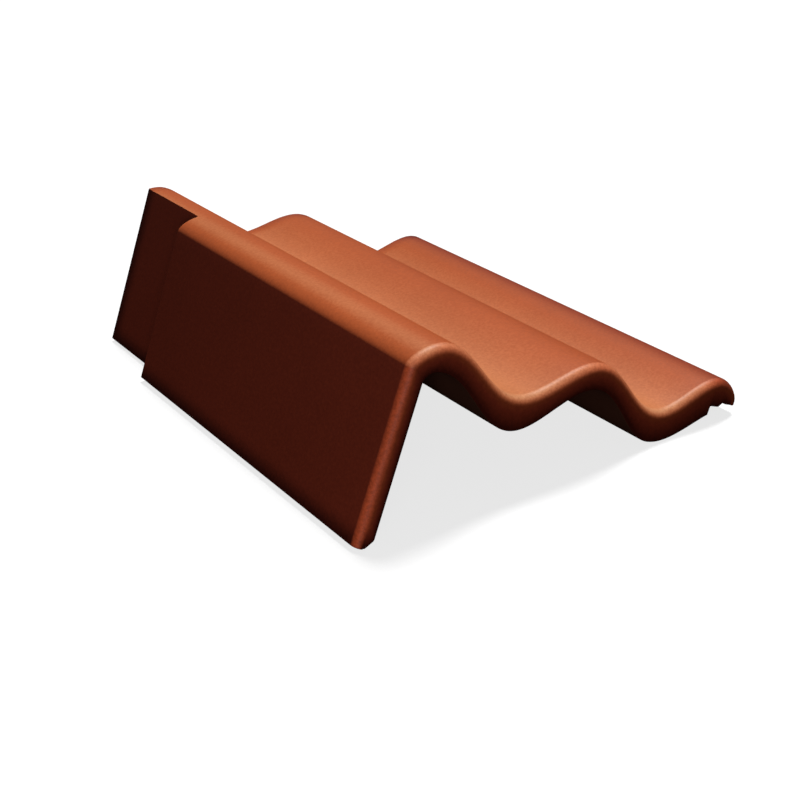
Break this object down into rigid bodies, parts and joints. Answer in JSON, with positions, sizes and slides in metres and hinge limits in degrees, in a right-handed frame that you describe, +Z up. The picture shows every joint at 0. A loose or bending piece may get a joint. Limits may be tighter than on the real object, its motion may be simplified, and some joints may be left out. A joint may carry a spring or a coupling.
{
  "type": "verge tile",
  "caption": "Left-hand verge roof tile with a double wave, a deep flap down its left side that steps in at the head, a lock along its right side and nibs under the head.",
  "frame": {"origin": "centre of the base of the bounding box, on the ground that the tile lies on", "axes": "+X runs across the tile from the flap to the side lock, +Y along the tile from its eave end to its head end, and +Z up. The tile lies as it rests on level ground, turned about Y by 19.9 degrees so that its right side is low: it touches the ground with the foot of its flap and the belly of its second trough."},
  "size_m": [0.3688, 0.42, 0.1337],
  "materials": {
    "coloured_concrete": "terracotta-coloured smooth coated concrete, half matt"
  },
  "bodies": {
    "root": {"verge_tile": "coloured_concrete"}
  },
  "joints": []
}
